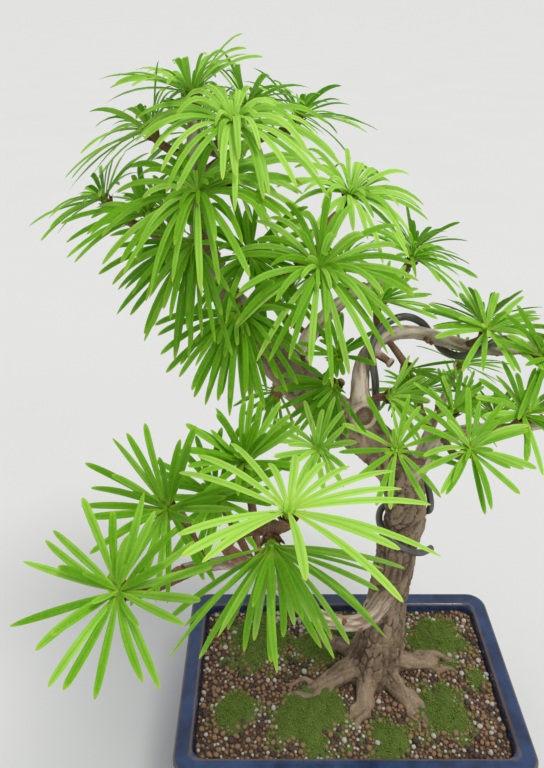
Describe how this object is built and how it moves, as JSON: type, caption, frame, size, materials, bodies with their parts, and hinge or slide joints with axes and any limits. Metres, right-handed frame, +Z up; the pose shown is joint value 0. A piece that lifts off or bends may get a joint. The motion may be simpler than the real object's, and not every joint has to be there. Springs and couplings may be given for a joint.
{
  "type": "bonsai tree",
  "caption": "Golden larch bonsai with whorls of soft flat needles, a pruned and wired trunk and branches, standing in soil in a glazed rectangular pot.",
  "frame": {"origin": "on the ground, under the middle of the whole tree and pot seen from above", "axes": "+Z up; -Y towards the front of the tree, where the longest spray reaches out; +X to the right for someone looking at the front"},
  "size_m": [0.32, 0.312, 0.4447],
  "materials": {
    "pot_glaze": "dark blue gloss glaze, thinner and browner on the edges",
    "soil": "matte baked clay and pumice grains with moss",
    "bark": "finely cracked pinkish grey-brown bark",
    "training_wire": "dark brown-grey anodised, satin",
    "drain_mesh": "matte green",
    "drain_clip": "satin",
    "needles": "soft satin, yellow-green where young"
  },
  "bodies": {
    "root": {"drain_clip_left": "drain_clip", "drain_clip_right": "drain_clip", "drain_mesh_left": "drain_mesh", "drain_mesh_right": "drain_mesh", "needles_apex_back": "needles", "needles_apex_front": "needles", "needles_apex_left": "needles", "needles_apex_top": "needles", "needles_back_left": "needles", "needles_back_low_near": "needles", "needles_back_low_side": "needles", "needles_back_low_tip": "needles", "needles_back_middle": "needles", "needles_back_right": "needles", "needles_back_tip": "needles", "needles_bend_above": "needles", "needles_bend_left": "needles", "needles_bright_bud": "needles", "needles_bright_tip": "needles", "needles_crown_back": "needles", "needles_crown_back_left": "needles", "needles_front_far_left": "needles", "needles_front_hero": "needles", "needles_front_inner": "needles", "needles_front_left": "needles", "needles_front_under": "needles", "needles_front_upper": "needles", "needles_inner_crown": "needles", "needles_knob_star": "needles", "needles_left_back": "needles", "needles_left_near": "needles", "needles_left_tip": "needles", "needles_low_right_back": "needles", "needles_low_right_tip": "needles", "needles_low_right_up": "needles", "needles_lower_left": "needles", "needles_middle_front": "needles", "needles_middle_left": "needles", "needles_right_edge": "needles", "needles_right_twig": "needles", "needles_shoot_right": "needles", "needles_under_bend": "needles", "needles_upper_left": "needles", "needles_wire_above": "needles", "needles_wire_far_back": "needles", "needles_wire_far_front": "needles", "needles_wire_far_up": "needles", "needles_wire_right": "needles", "needles_wire_tip": "needles", "needles_wire_under": "needles", "pot": "pot_glaze", "soil": "soil", "training_wire": "training_wire", "trunk_and_branches": "bark"}
  },
  "joints": []
}
